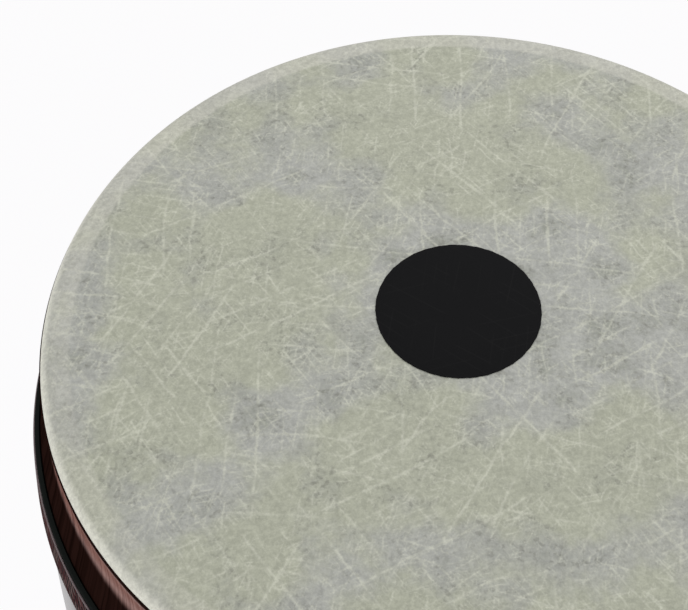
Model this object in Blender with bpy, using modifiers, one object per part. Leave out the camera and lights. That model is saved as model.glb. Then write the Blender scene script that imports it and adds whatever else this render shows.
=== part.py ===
"""Full-size stave conga whose head is tuned from inside the shell.

Units are metres, +Z is up, and the origin is the centre of the foot on the floor.
Run with: blender --background --python part.py
"""
import bpy
import bmesh
from math import asin, atan2, cos, pi, radians, sin
from mathutils import Matrix, Vector

# Overall form, from the floor to the playing surface
HEIGHT = 0.711
MOUTH_RADIUS = 0.1484
BELLY_RADIUS = 0.1743
BELLY_DEPTH = 0.253
FOOT_RADIUS = 0.118
WALL = 0.011
TOUCH_GAP = 0.0003
SAME_PLACE = 0.00001

# Staves and the faceting that every turned part shares
STAVE_COUNT = 18
FACETS_PER_STAVE = 3
STAVE_GAP_ANGLE = radians(0.12)
SHELL_STATIONS = 11

# Head film, glued over the bearing edge
HEAD_RADIUS = 0.149
FILM_THICKNESS = 0.00035
FILM_DROP = 0.0048
EDGE_ROUND = 0.006
GLUE_LINE = 0.00012
DOT_RADIUS = 0.0296
DOT_THICKNESS = 0.00025
DOT_STEPS = 30

# Bearing edge of the wood, and the shallow cove turned between it and the upper hoop
LEDGE_DEPTH = 0.0051
LEDGE_CORNER = 0.0004
MOUTH_FULLNESS = 0.0010
LEDGE_CUT = 0.00096
COVE_CUT = 0.00238
COVE_STEPS = 6
CREST_INNER_RADIUS = 0.1405
INNER_BEVEL = 0.003
ARC_STEPS = 3

# Hoops and the woven band, as depths below the playing surface
HOOP_TOP_DEPTH = 0.0384
HOOP_BOTTOM_DEPTH = 0.0402
HOOP_THICKNESS = 0.0016
HOOP_EDGE_ROUND = 0.0005
BAND_TOP_DEPTH = 0.0406
BAND_BOTTOM_DEPTH = 0.0578
BAND_THICKNESS = 0.0023
LOWER_HOOP_HEIGHT = 0.012
LOWER_HOOP_LEVEL = 0.104
LOWER_HOOP_THICKNESS = 0.0016

# Rubber foot ring
FOOT_BASE = 0.007
FOOT_LIP_LEVEL = 0.027
FOOT_LIP_THICKNESS = 0.003
FOOT_CORNER = 0.003
FOOT_LIP_CORNER = 0.0004
FOOT_INNER_RADIUS = 0.1065

# Tuning ring and its six lifting screws
TUNER_COUNT = 6
TUNER_RADIUS = 0.1275
TUNER_TRAVEL = 0.005
RING_OUTER_RADIUS = 0.1335
RING_INNER_RADIUS = 0.1215
RING_HEIGHT = 0.020
RING_ROUND = 0.003
CUP_RADIUS = 0.0056
CUP_HEIGHT = 0.004
CUP_SOCKET_DEPTH = 0.002
CUP_STEPS = 12
BOLT_TIP_RADIUS = 0.003
BOLT_TIP_LENGTH = 0.0032
BOLT_RADIUS = 0.004
BOLT_CHAMFER = 0.0006
BOLT_SHANK = 0.052
BOLT_HEAD_RADIUS = 0.0075
BOLT_HEAD_HEIGHT = 0.0055
BOLT_STEPS = 12

# Steel brackets that carry the lifting screws
SHELF_CLEARANCE = 0.003
SHELF_THICKNESS = 0.008
FLANGE_HEIGHT = 0.045
FLANGE_THICKNESS = 0.0035
FLANGE_WIDTH = 0.020
NOSE_LENGTH = 0.010
NOSE_ROUND = 0.008
BRACKET_FILLET = 0.006
FLANGE_HOLE_LENGTH = 0.012
WALL_CLEARANCE = 0.0005

# Wood screws that hold the brackets, two to a bracket
SCREW_RADIUS = 0.0019
SCREW_DEPTH = 0.0075
SCREW_POINT = 0.002
SCREW_HEAD_RADIUS = 0.0038
SCREW_HEAD_HEIGHT = 0.0024
SCREW_CROWN_RADIUS = 0.0027
SCREW_DROPS = (0.017, 0.036)
SCREW_STEPS = 8
PILOT_RADIUS = 0.0022
PILOT_DEPTH = 0.0088

RING_STEPS = STAVE_COUNT * FACETS_PER_STAVE
STAVE_ANGLE = 2 * pi / STAVE_COUNT
HALF_FACET = pi / RING_STEPS


def barrel_radius(depth):
    """Radius of the barrel's even curve at a depth below the playing surface."""
    if depth < BELLY_DEPTH:
        rise = 1 - depth / BELLY_DEPTH
        return BELLY_RADIUS - (BELLY_RADIUS - MOUTH_RADIUS) * rise ** 2
    fall = (depth - BELLY_DEPTH) / (HEIGHT - BELLY_DEPTH)
    return BELLY_RADIUS - (BELLY_RADIUS - FOOT_RADIUS) * (1 - cos(fall * pi / 2))


def shell_radius(depth):
    """Outside radius of the shell: fuller than the barrel's curve, less the cove under the head."""
    rise = max(0.0, 1 - depth / BELLY_DEPTH)
    share = min(1.0, (depth - LEDGE_DEPTH) / (HOOP_TOP_DEPTH - LEDGE_DEPTH))
    cove = LEDGE_CUT * (1 - share) + COVE_CUT * sin(pi * share)
    return barrel_radius(depth) + MOUTH_FULLNESS * rise ** 2 - cove


def shell_point(depth, offset=0.0):
    """Profile point (radius, height) at a depth, moved out from the shell by offset."""
    return (shell_radius(depth) + offset, HEIGHT - depth)


def arc(centre, radius, start, end, steps):
    """Points of an arc from one angle to another, both included."""
    turn = (end - start) / steps
    return [
        (centre[0] + radius * cos(start + turn * i), centre[1] + radius * sin(start + turn * i))
        for i in range(steps + 1)
    ]


def make_material(name, colour, roughness, metallic=0.0):
    material = bpy.data.materials.new(name)
    material.use_nodes = True
    shader = material.node_tree.nodes["Principled BSDF"]
    shader.inputs["Base Color"].default_value = (*colour, 1.0)
    shader.inputs["Roughness"].default_value = roughness
    shader.inputs["Metallic"].default_value = metallic
    return material


def add_object(name, data, material, collection):
    obj = bpy.data.objects.new(name, data)
    if material and not obj.data.materials:
        obj.data.materials.append(material)
    collection.objects.link(obj)
    return obj


def profile_mesh(name, points, closed):
    """Edges through (radius, height) points in the XZ plane."""
    verts = [(r, 0.0, z) for r, z in points]
    edges = [(i, i + 1) for i in range(len(points) - 1)]
    if closed:
        edges.append((len(points) - 1, 0))
    mesh = bpy.data.meshes.new(name)
    mesh.from_pydata(verts, edges, [])
    return mesh


def add_screw(obj, angle, steps):
    modifier = obj.modifiers.new("turn", "SCREW")
    modifier.angle = angle
    modifier.steps = steps
    modifier.render_steps = steps
    modifier.use_merge_vertices = True
    modifier.merge_threshold = SAME_PLACE
    modifier.use_smooth_shade = True


def turned(name, points, material, closed=True, steps=RING_STEPS):
    """A turned part: a profile that runs down its outer side, swept round Z."""
    obj = add_object(name, profile_mesh(name, points, closed), material, parts)
    add_screw(obj, 2 * pi, steps)
    if steps == RING_STEPS:
        obj.rotation_euler.z = HALF_FACET
    return obj


def baked_mesh(obj, name):
    """Mesh of an object as its modifiers leave it, with doubled points welded."""
    bpy.context.view_layer.update()
    evaluated = obj.evaluated_get(bpy.context.evaluated_depsgraph_get())
    mesh = bpy.data.meshes.new_from_object(evaluated)
    mesh.name = name
    mesh.transform(obj.matrix_world)
    bm = bmesh.new()
    bm.from_mesh(mesh)
    bmesh.ops.remove_doubles(bm, verts=bm.verts, dist=SAME_PLACE)
    bm.to_mesh(mesh)
    bm.free()
    return mesh


def cap_ends(mesh):
    """Close the two open ends of a part that was turned through part of a circle."""
    bm = bmesh.new()
    bm.from_mesh(mesh)
    rims = [edge for edge in bm.edges if edge.is_boundary]
    bmesh.ops.holes_fill(bm, edges=rims, sides=0)
    bmesh.ops.recalc_face_normals(bm, faces=bm.faces)
    bm.to_mesh(mesh)
    bm.free()


def smooth(mesh, angle=radians(32)):
    mesh.shade_smooth()
    mesh.set_sharp_from_angle(angle=angle)


def add_cutter(name, radius, length, matrix, segments=16):
    """A hidden cylinder, centred on its matrix and lying along its Z."""
    mesh = bpy.data.meshes.new(name)
    bm = bmesh.new()
    bmesh.ops.create_cone(
        bm, cap_ends=True, segments=segments, radius1=radius, radius2=radius, depth=length
    )
    bm.to_mesh(mesh)
    bm.free()
    cutter = add_object(name, mesh, None, cutters)
    cutter.matrix_world = matrix
    cutter.hide_render = True
    cutter.display_type = "WIRE"
    return cutter


def add_boolean(obj, other, operation):
    modifier = obj.modifiers.new(other.name, "BOOLEAN")
    modifier.operation = operation
    modifier.object = other
    modifier.solver = "EXACT"


def discard(obj):
    bpy.data.objects.remove(obj)


def shell_depths():
    """Depths of the shell's profile points, closer together by the cove, hoop and band."""
    start = LEDGE_DEPTH + LEDGE_CORNER
    step = (HOOP_TOP_DEPTH - start) / COVE_STEPS
    upper = [start + step * i for i in range(COVE_STEPS + 1)] + [BAND_BOTTOM_DEPTH]
    first = BAND_BOTTOM_DEPTH
    last = HEIGHT - FOOT_BASE - TOUCH_GAP
    step = (last - first) / SHELL_STATIONS
    return upper + [first + step * (i + 1) for i in range(SHELL_STATIONS)]


def stave_profile():
    """Closed section of the wall: round bearing edge, ledge, belly, foot and inner face."""
    crest = EDGE_ROUND - FILM_THICKNESS - GLUE_LINE
    centre = (HEAD_RADIUS - EDGE_ROUND, HEIGHT - EDGE_ROUND)
    ledge = asin((EDGE_ROUND - LEDGE_DEPTH) / crest)
    points = arc(centre, crest, pi / 2, ledge, ARC_STEPS)
    points.append((shell_radius(LEDGE_DEPTH) - LEDGE_CORNER, HEIGHT - LEDGE_DEPTH))
    depths = shell_depths()
    points += [shell_point(depth) for depth in depths]
    inner_depths = depths[COVE_STEPS // 2:]
    points += [(barrel_radius(depth) - WALL, HEIGHT - depth) for depth in reversed(inner_depths)]
    top = HEIGHT - FILM_THICKNESS - GLUE_LINE
    points.append((CREST_INNER_RADIUS - INNER_BEVEL, top - INNER_BEVEL))
    points.append((CREST_INNER_RADIUS, top))
    return points


def flange_back(depth):
    """Radius of the bracket's back face, clear of the faceted inner wall."""
    wall = (barrel_radius(depth) - WALL) * cos(HALF_FACET)
    return wall - WALL_CLEARANCE


def flange_frame(drop):
    """Place on the flange's inner face, with Z pointing out through the wall."""
    upper = Vector((flange_back(SHELF_DEPTH), 0.0, HEIGHT - SHELF_DEPTH))
    low_depth = SHELF_DEPTH + FLANGE_HEIGHT
    lower = Vector((flange_back(low_depth), 0.0, HEIGHT - low_depth))
    down = (lower - upper).normalized()
    outward = Vector((-down.z, 0.0, down.x))
    place = upper + down * drop - outward * FLANGE_THICKNESS
    tilt = atan2(outward.x, outward.z)
    return Matrix.Translation(place) @ Matrix.Rotation(tilt, 4, "Y")


def make_staves():
    """Eighteen staves, every third one drilled for a bracket's two screws."""
    blank = add_object("stave_blank", profile_mesh("stave_blank", stave_profile(), True), None, parts)
    turn = STAVE_ANGLE - STAVE_GAP_ANGLE
    add_screw(blank, turn, FACETS_PER_STAVE)
    blank.rotation_euler.z = -turn / 2
    plain = baked_mesh(blank, "stave")
    cap_ends(plain)
    plain.materials.append(wood)
    discard(blank)
    drilled_blank = add_object("stave_drilled", plain.copy(), None, parts)
    for number, drop in enumerate(SCREW_DROPS, 1):
        reach = FLANGE_THICKNESS + PILOT_DEPTH
        place = flange_frame(drop) @ Matrix.Translation((0.0, 0.0, reach / 2))
        pilot = add_cutter(f"pilot_hole_{number}", PILOT_RADIUS, reach, place, 12)
        add_boolean(drilled_blank, pilot, "DIFFERENCE")
    drilled = baked_mesh(drilled_blank, "drilled_stave")
    discard(drilled_blank)
    smooth(plain)
    smooth(drilled)
    for index in range(STAVE_COUNT):
        mesh = drilled if index % (STAVE_COUNT // TUNER_COUNT) == 0 else plain
        stave = add_object(f"stave_{index + 1:02d}", mesh, None, parts)
        stave.rotation_euler.z = STAVE_ANGLE * index


def make_head():
    """Head film, flat to its rim and turned down over the bearing edge, and its dot."""
    centre = (HEAD_RADIUS - EDGE_ROUND, HEIGHT - EDGE_ROUND)
    inner = EDGE_ROUND - FILM_THICKNESS
    level = EDGE_ROUND - FILM_DROP
    outside = arc(centre, EDGE_ROUND, pi / 2, asin(level / EDGE_ROUND), ARC_STEPS + 1)
    inside = arc(centre, inner, asin(level / inner), pi / 2, ARC_STEPS + 1)
    rim = [(0.0, HEIGHT)] + outside + inside + [(0.0, HEIGHT - FILM_THICKNESS)]
    turned("head_film", rim, film, closed=False)
    under = HEIGHT + GLUE_LINE
    over = under + DOT_THICKNESS
    disc = [(0.0, over), (DOT_RADIUS, over), (DOT_RADIUS, under), (0.0, under)]
    turned("centre_dot", disc, dot_black, closed=False, steps=DOT_STEPS)


def hoop_section(top_depth, bottom_depth, thickness, corner):
    """Section of a flat hoop that follows the shell's flare."""
    gap = TOUCH_GAP
    return [
        shell_point(top_depth, gap + thickness - corner),
        shell_point(top_depth + corner, gap + thickness),
        shell_point(bottom_depth - corner, gap + thickness),
        shell_point(bottom_depth, gap + thickness - corner),
        shell_point(bottom_depth, gap),
        shell_point(top_depth, gap),
    ]


def make_bands():
    """Black hoop with a woven band under it, and a flat hoop near the foot."""
    upper = hoop_section(HOOP_TOP_DEPTH, HOOP_BOTTOM_DEPTH, HOOP_THICKNESS, HOOP_EDGE_ROUND)
    turned("upper_hoop", upper, hoop_black)
    band = hoop_section(BAND_TOP_DEPTH, BAND_BOTTOM_DEPTH, BAND_THICKNESS, HOOP_EDGE_ROUND)
    turned("woven_band", band, weave)
    top = HEIGHT - LOWER_HOOP_LEVEL - LOWER_HOOP_HEIGHT / 2
    lower = hoop_section(top, top + LOWER_HOOP_HEIGHT, LOWER_HOOP_THICKNESS, HOOP_EDGE_ROUND / 2)
    turned("lower_hoop", lower, hoop_black)


def make_foot():
    """Rubber ring under the shell, with a lip up its outside."""
    outset = TOUCH_GAP + FOOT_LIP_THICKNESS
    lip = HEIGHT - FOOT_LIP_LEVEL
    base_radius = shell_radius(HEIGHT) + outset
    corner = arc((base_radius - FOOT_CORNER, FOOT_CORNER), FOOT_CORNER, 0, -pi / 2, ARC_STEPS)
    points = [shell_point(lip, outset - FOOT_LIP_CORNER), shell_point(lip + FOOT_LIP_CORNER, outset)]
    points += corner
    points.append((FOOT_INNER_RADIUS, 0.0))
    points.append((FOOT_INNER_RADIUS, FOOT_BASE))
    points.append(shell_point(HEIGHT - FOOT_BASE, TOUCH_GAP))
    points.append(shell_point(lip, TOUCH_GAP))
    turned("foot_ring", points, rubber)


def make_tuning_ring():
    """Ring that lifts the film from below, drawn down from its own upper edge."""
    outer = arc((RING_OUTER_RADIUS - RING_ROUND, -RING_ROUND), RING_ROUND, pi / 2, 0, ARC_STEPS)
    points = outer + [
        (RING_OUTER_RADIUS, -RING_HEIGHT),
        (RING_INNER_RADIUS, -RING_HEIGHT),
        (RING_INNER_RADIUS, 0.0),
    ]
    ring = turned("tuning_ring", points, aluminium)
    ring.location.z = RING_TOP
    return ring


def tuner_matrix(index, height):
    """Place of a tuner's part: on its own screw's axis, with X pointing outwards."""
    turn = Matrix.Rotation(2 * pi * index / TUNER_COUNT, 4, "Z")
    return turn @ Matrix.Translation((TUNER_RADIUS, 0.0, height))


def place_on_ring(obj, ring, matrix):
    """Parent a part to the ring without moving it."""
    bpy.context.view_layer.update()
    obj.parent = ring
    obj.matrix_parent_inverse = ring.matrix_world.inverted()
    obj.matrix_basis = matrix


def make_cups(ring):
    """Steel cups under the ring, each with a socket for a lifting screw's tip."""
    socket = BOLT_TIP_RADIUS + TOUCH_GAP
    points = [
        (0.0, CUP_HEIGHT),
        (CUP_RADIUS, CUP_HEIGHT),
        (CUP_RADIUS, 0.0),
        (socket, 0.0),
        (socket, CUP_SOCKET_DEPTH),
        (0.0, CUP_SOCKET_DEPTH),
    ]
    mesh = profile_mesh("thrust_cup", points, False)
    mesh.materials.append(steel)
    for index in range(TUNER_COUNT):
        cup = add_object(f"thrust_cup_{index + 1}", mesh, None, parts)
        add_screw(cup, 2 * pi, CUP_STEPS)
        place_on_ring(cup, ring, tuner_matrix(index, CUP_BOTTOM))


def make_bolts(ring):
    """Lifting screws: plain tip, threaded shank drawn at its outer size, hex head."""
    shoulder = -BOLT_TIP_LENGTH
    head_top = shoulder - BOLT_SHANK
    points = [
        (0.0, 0.0),
        (BOLT_TIP_RADIUS - BOLT_CHAMFER, 0.0),
        (BOLT_TIP_RADIUS, -BOLT_CHAMFER),
        (BOLT_TIP_RADIUS, shoulder),
        (BOLT_RADIUS - BOLT_CHAMFER, shoulder),
        (BOLT_RADIUS, shoulder - BOLT_CHAMFER),
        (BOLT_RADIUS, head_top - BOLT_HEAD_HEIGHT / 2),
        (0.0, head_top - BOLT_HEAD_HEIGHT / 2),
    ]
    shank = add_object("bolt_shank", profile_mesh("bolt_shank", points, False), None, parts)
    add_screw(shank, 2 * pi, BOLT_STEPS)
    head_place = Matrix.Translation((0.0, 0.0, head_top - BOLT_HEAD_HEIGHT / 2))
    head = add_cutter("bolt_head", BOLT_HEAD_RADIUS, BOLT_HEAD_HEIGHT, head_place, 6)
    add_boolean(shank, head, "UNION")
    mesh = baked_mesh(shank, "lifting_screw")
    mesh.materials.append(steel)
    smooth(mesh)
    discard(shank)
    for index in range(TUNER_COUNT):
        bolt = add_object(f"lifting_screw_{index + 1}", mesh, None, parts)
        place_on_ring(bolt, ring, tuner_matrix(index, BOLT_TIP_HEIGHT))


def bracket_outline():
    """Side view of the bracket: shelf, flange against the wall, fillet between them."""
    nose = TUNER_RADIUS - NOSE_LENGTH
    top = HEIGHT - SHELF_DEPTH
    under = top - SHELF_THICKNESS
    low_depth = SHELF_DEPTH + FLANGE_HEIGHT
    slope = (flange_back(low_depth) - flange_back(SHELF_DEPTH)) / FLANGE_HEIGHT
    face = flange_back(SHELF_DEPTH) - FLANGE_THICKNESS

    def face_radius(height):
        return face + slope * (top - height)

    start = (face_radius(under) - BRACKET_FILLET, under)
    end_height = under - BRACKET_FILLET
    centre = (start[0], end_height)
    fillet = arc(centre, BRACKET_FILLET, pi / 2, 0, ARC_STEPS)
    fillet[-1] = (face_radius(end_height), end_height)
    return (
        [(nose, top), (flange_back(SHELF_DEPTH), top)]
        + [(flange_back(low_depth), HEIGHT - low_depth)]
        + [(face_radius(HEIGHT - low_depth), HEIGHT - low_depth)]
        + list(reversed(fillet))
        + [(nose, under)]
    )


def make_brackets():
    """Six brackets cut from one bar section, each bored for its lifting screw."""
    outline = bpy.data.curves.new("bracket_outline", "CURVE")
    outline.dimensions = "2D"
    outline.fill_mode = "BOTH"
    outline.extrude = FLANGE_WIDTH / 2
    spline = outline.splines.new("POLY")
    points = bracket_outline()
    spline.points.add(len(points) - 1)
    for point, (r, z) in zip(spline.points, points):
        point.co = (r, z, 0.0, 1.0)
    spline.use_cyclic_u = True
    bar = add_object("bracket_bar", outline, None, parts)
    bar.rotation_euler.x = pi / 2
    mesh = baked_mesh(bar, "bracket")
    discard(bar)
    bm = bmesh.new()
    bm.from_mesh(mesh)
    bmesh.ops.recalc_face_normals(bm, faces=bm.faces)
    nose = TUNER_RADIUS - NOSE_LENGTH
    corners = [
        edge
        for edge in bm.edges
        if all(abs(vert.co.x - nose) < SAME_PLACE for vert in edge.verts)
        and abs(edge.verts[0].co.z - edge.verts[1].co.z) > SAME_PLACE
    ]
    bmesh.ops.bevel(bm, geom=corners, offset=NOSE_ROUND, segments=ARC_STEPS, affect="EDGES")
    bm.to_mesh(mesh)
    bm.free()
    blank = add_object("bracket_blank", mesh, None, parts)
    bore_place = Matrix.Translation((TUNER_RADIUS, 0.0, HEIGHT - SHELF_DEPTH - SHELF_THICKNESS / 2))
    bore = add_cutter("bolt_bore", BOLT_RADIUS + TOUCH_GAP, 2 * SHELF_THICKNESS, bore_place)
    add_boolean(blank, bore, "DIFFERENCE")
    for number, drop in enumerate(SCREW_DROPS, 1):
        place = flange_frame(drop)
        hole = add_cutter(f"flange_hole_{number}", PILOT_RADIUS, FLANGE_HOLE_LENGTH, place, 12)
        add_boolean(blank, hole, "DIFFERENCE")
    bored = baked_mesh(blank, "tuning_bracket")
    bored.materials.append(steel)
    discard(blank)
    smooth(bored)
    for index in range(TUNER_COUNT):
        bracket = add_object(f"tuning_bracket_{index + 1}", bored, None, parts)
        bracket.rotation_euler.z = 2 * pi * index / TUNER_COUNT


def make_screws():
    """Pan-head wood screws, driven from inside through each flange into its stave."""
    seat = -TOUCH_GAP
    tip = FLANGE_THICKNESS + WALL_CLEARANCE + SCREW_DEPTH
    crown = seat - SCREW_HEAD_HEIGHT
    points = [
        (0.0, tip),
        (SCREW_RADIUS, tip - SCREW_POINT),
        (SCREW_RADIUS, seat),
        (SCREW_HEAD_RADIUS, seat),
        (SCREW_HEAD_RADIUS, seat - SCREW_HEAD_HEIGHT / 2),
        (SCREW_CROWN_RADIUS, crown),
        (0.0, crown),
    ]
    mesh = profile_mesh("bracket_screw", points, False)
    mesh.materials.append(steel)
    for index in range(TUNER_COUNT):
        turn = Matrix.Rotation(2 * pi * index / TUNER_COUNT, 4, "Z")
        for letter, drop in zip("ab", SCREW_DROPS):
            name = f"bracket_screw_{index + 1}{letter}"
            screw = add_object(name, mesh, None, parts)
            add_screw(screw, 2 * pi, SCREW_STEPS)
            screw.matrix_world = turn @ flange_frame(drop)


# Heights that follow from the dimensions above
RING_TOP = HEIGHT - FILM_THICKNESS - TOUCH_GAP
CUP_BOTTOM = RING_TOP - RING_HEIGHT - TOUCH_GAP - CUP_HEIGHT
BOLT_TIP_HEIGHT = CUP_BOTTOM + CUP_SOCKET_DEPTH - TOUCH_GAP
SHELF_DEPTH = HEIGHT - CUP_BOTTOM + TUNER_TRAVEL + SHELF_CLEARANCE

for old in list(bpy.data.objects):
    bpy.data.objects.remove(old)

parts = bpy.data.collections.new("conga")
cutters = bpy.data.collections.new("conga_cutters")
bpy.context.scene.collection.children.link(parts)
bpy.context.scene.collection.children.link(cutters)

wood = make_material("lacquered_wood", (0.075, 0.020, 0.012), 0.32)
film = make_material("head_film", (0.402, 0.413, 0.328), 0.62)
dot_black = make_material("dot_black", (0.013, 0.013, 0.013), 0.55)
hoop_black = make_material("hoop_black", (0.012, 0.013, 0.013), 0.35, 0.6)
weave = make_material("woven_band", (0.050, 0.020, 0.020), 0.75)
rubber = make_material("foot_rubber", (0.018, 0.018, 0.018), 0.80)
aluminium = make_material("ring_aluminium", (0.60, 0.61, 0.62), 0.38, 1.0)
steel = make_material("plated_steel", (0.52, 0.52, 0.50), 0.35, 1.0)

make_staves()
make_head()
make_bands()
make_foot()
tuning_ring = make_tuning_ring()
make_cups(tuning_ring)
make_bolts(tuning_ring)
make_brackets()
make_screws()
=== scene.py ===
"""Looks of a stave conga with a film head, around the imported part."""
from math import asin, atan2, cos, hypot, pi, radians, sin

import bmesh
import bpy
from mathutils import Matrix, Vector


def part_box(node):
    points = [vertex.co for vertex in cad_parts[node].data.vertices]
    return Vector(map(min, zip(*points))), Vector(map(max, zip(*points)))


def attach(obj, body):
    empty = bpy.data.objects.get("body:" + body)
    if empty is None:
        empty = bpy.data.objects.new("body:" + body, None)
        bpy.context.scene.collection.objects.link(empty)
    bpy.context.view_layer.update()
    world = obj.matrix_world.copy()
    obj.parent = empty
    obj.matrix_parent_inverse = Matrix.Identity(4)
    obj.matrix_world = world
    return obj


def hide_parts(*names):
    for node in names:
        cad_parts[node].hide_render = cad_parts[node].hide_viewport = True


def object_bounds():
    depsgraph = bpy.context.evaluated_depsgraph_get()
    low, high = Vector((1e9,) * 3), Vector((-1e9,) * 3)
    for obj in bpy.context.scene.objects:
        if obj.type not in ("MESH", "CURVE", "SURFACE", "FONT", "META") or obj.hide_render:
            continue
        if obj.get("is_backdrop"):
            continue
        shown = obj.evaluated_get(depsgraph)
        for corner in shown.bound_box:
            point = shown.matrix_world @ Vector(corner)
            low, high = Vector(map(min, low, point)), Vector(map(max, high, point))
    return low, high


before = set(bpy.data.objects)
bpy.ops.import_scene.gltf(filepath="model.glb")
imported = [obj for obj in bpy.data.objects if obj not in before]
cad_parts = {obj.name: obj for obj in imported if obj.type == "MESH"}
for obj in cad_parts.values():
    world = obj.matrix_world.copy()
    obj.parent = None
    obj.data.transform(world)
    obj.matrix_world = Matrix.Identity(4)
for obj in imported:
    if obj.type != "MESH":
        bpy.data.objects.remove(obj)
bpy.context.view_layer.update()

scene = bpy.context.scene
scene.view_settings.view_transform = "Standard"

# The viewpoint
# The photograph looks down on the head from close by. Its camera was found from the outlines of
# the head and of the dot: the head's centre lies right of and just below the picture's centre.
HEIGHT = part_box("head_film")[1].z
HEAD_RADIUS = 0.149
PICTURE_WIDTH = 688
SENSOR_WIDTH = 36.0
FOCAL_PIXELS = 1249.2
HEAD_CENTRE_PIXELS = (114.25, 4.23)
VIEW_DEPRESSION = radians(53.19)
VIEW_ROLL = radians(-2.23)
VIEW_DISTANCE = 2.9823 * HEAD_RADIUS

camera_data = bpy.data.cameras.new("camera")
camera_data.sensor_width = SENSOR_WIDTH
camera_data.lens = FOCAL_PIXELS * SENSOR_WIDTH / PICTURE_WIDTH
camera_data.clip_start = 0.01
camera = bpy.data.objects.new("camera", camera_data)
scene.collection.objects.link(camera)
forward = Vector((0.0, cos(VIEW_DEPRESSION), -sin(VIEW_DEPRESSION)))
level_right = Vector((1.0, 0.0, 0.0))
level_up = level_right.cross(forward)
right = cos(VIEW_ROLL) * level_right + sin(VIEW_ROLL) * level_up
up = -sin(VIEW_ROLL) * level_right + cos(VIEW_ROLL) * level_up
aside = HEAD_CENTRE_PIXELS[0] / FOCAL_PIXELS * VIEW_DISTANCE
below = HEAD_CENTRE_PIXELS[1] / FOCAL_PIXELS * VIEW_DISTANCE
eye = Vector((0.0, 0.0, HEIGHT)) - aside * right + below * up - VIEW_DISTANCE * forward
turn = Matrix((right, up, -forward)).transposed().to_4x4()
camera.matrix_world = Matrix.Translation(eye) @ turn
scene.camera = camera


class Tone:
    """A socket of a node tree that takes part in sums, so that a pattern reads as arithmetic."""

    def __init__(self, bench, socket):
        self.bench = bench
        self.socket = socket

    def _math(self, operation, first, second=0.0):
        return self.bench.node("ShaderNodeMath", {"operation": operation}, {0: first, 1: second})

    def __add__(self, other):
        return self._math("ADD", self, other)

    def __sub__(self, other):
        return self._math("SUBTRACT", self, other)

    def __mul__(self, other):
        return self._math("MULTIPLY", self, other)

    def __truediv__(self, other):
        return self._math("DIVIDE", self, other)

    def __rsub__(self, other):
        return self._math("SUBTRACT", other, self)

    def __mod__(self, other):
        return self._math("MODULO", self, other)

    def __abs__(self):
        return self._math("ABSOLUTE", self)

    __radd__ = __add__
    __rmul__ = __mul__

    def floor(self):
        return self._math("FLOOR", self)

    def cos(self):
        return self._math("COSINE", self)

    def sin(self):
        return self._math("SINE", self)

    def most(self, other):
        return self._math("MAXIMUM", self, other)

    def least(self, other):
        return self._math("MINIMUM", self, other)

    def ramp(self, low, high, start=0.0, end=1.0):
        """Smooth change from start to end as the value goes from low to high."""
        settings = {"interpolation_type": "SMOOTHSTEP", "clamp": True}
        inputs = {0: self, 1: low, 2: high, 3: start, 4: end}
        return self.bench.node("ShaderNodeMapRange", settings, inputs)

    def out(self, name):
        """Another output of the node that this one comes from."""
        return Tone(self.bench, self.socket.node.outputs[name])


class Bench:
    """A node tree, in which every node is made by one method."""

    def __init__(self, tree):
        self.tree = tree

    def node(self, kind, settings, inputs, output=0):
        made = self.tree.nodes.new(kind)
        for key, value in settings.items():
            setattr(made, key, value)
        for key, value in inputs.items():
            if isinstance(value, Tone):
                self.tree.links.new(value.socket, made.inputs[key])
            else:
                made.inputs[key].default_value = value
        return Tone(self, made.outputs[output])

    def vector(self, x, y, z):
        return self.node("ShaderNodeCombineXYZ", {}, {0: x, 1: y, 2: z})

    def split(self, vector):
        first = self.node("ShaderNodeSeparateXYZ", {}, {0: vector})
        return [first, first.out("Y"), first.out("Z")]

    def on_vector(self, operation, inputs, output=0):
        return self.node("ShaderNodeVectorMath", {"operation": operation}, inputs, output)


class Finish(Bench):
    """A procedural material, worked out on the piece's own coordinates."""

    def __init__(self, name, roughness, metallic=0.0, specular=0.5):
        self.material = bpy.data.materials.new(name)
        self.material.use_nodes = True
        super().__init__(self.material.node_tree)
        self.shader = self.tree.nodes["Principled BSDF"]
        self.set("Roughness", roughness)
        self.set("Metallic", metallic)
        self.set("Specular IOR Level", specular)
        self.place = self.node("ShaderNodeTexCoord", {}, {}, "Object")

    def set(self, name, value):
        socket = self.shader.inputs[name]
        if isinstance(value, Tone):
            self.tree.links.new(value.socket, socket)
        else:
            socket.default_value = (*value, 1.0) if isinstance(value, tuple) else value

    def noise(self, place, scale=1.0, detail=2.0, roughness=0.5):
        """Soft noise, from about 0.2 to 0.8. A scale of three numbers stretches it."""
        if isinstance(scale, tuple):
            place = self.on_vector("MULTIPLY", {0: place, 1: scale})
            scale = 1.0
        inputs = {"Vector": place, "Scale": scale, "Detail": detail, "Roughness": roughness}
        return self.node("ShaderNodeTexNoise", {"noise_dimensions": "3D"}, inputs)

    def blend(self, amount, first, second):
        """Mix of two colours, each a tuple or a Tone."""
        first, second = [
            value if isinstance(value, Tone) else (*value, 1.0) for value in (first, second)
        ]
        settings = {"data_type": "RGBA", "clamp_factor": True}
        return self.node("ShaderNodeMix", settings, {0: amount, 6: first, 7: second}, 2)

    def shaded(self, colour, amount):
        """A colour made darker or lighter by a factor."""
        return self.on_vector("SCALE", {0: colour, "Scale": amount})

    def bump(self, height, distance):
        self.set("Normal", self.node("ShaderNodeBump", {}, {"Height": height, "Distance": distance}))


def show(name, mesh, finish, sharp=radians(40)):
    """Put a mesh in the scene as a smooth-shaded piece."""
    mesh.materials.clear()
    mesh.materials.append(finish.material)
    mesh.shade_smooth()
    mesh.set_sharp_from_angle(angle=sharp)
    piece = bpy.data.objects.new(name, mesh)
    scene.collection.objects.link(piece)
    return piece


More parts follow.
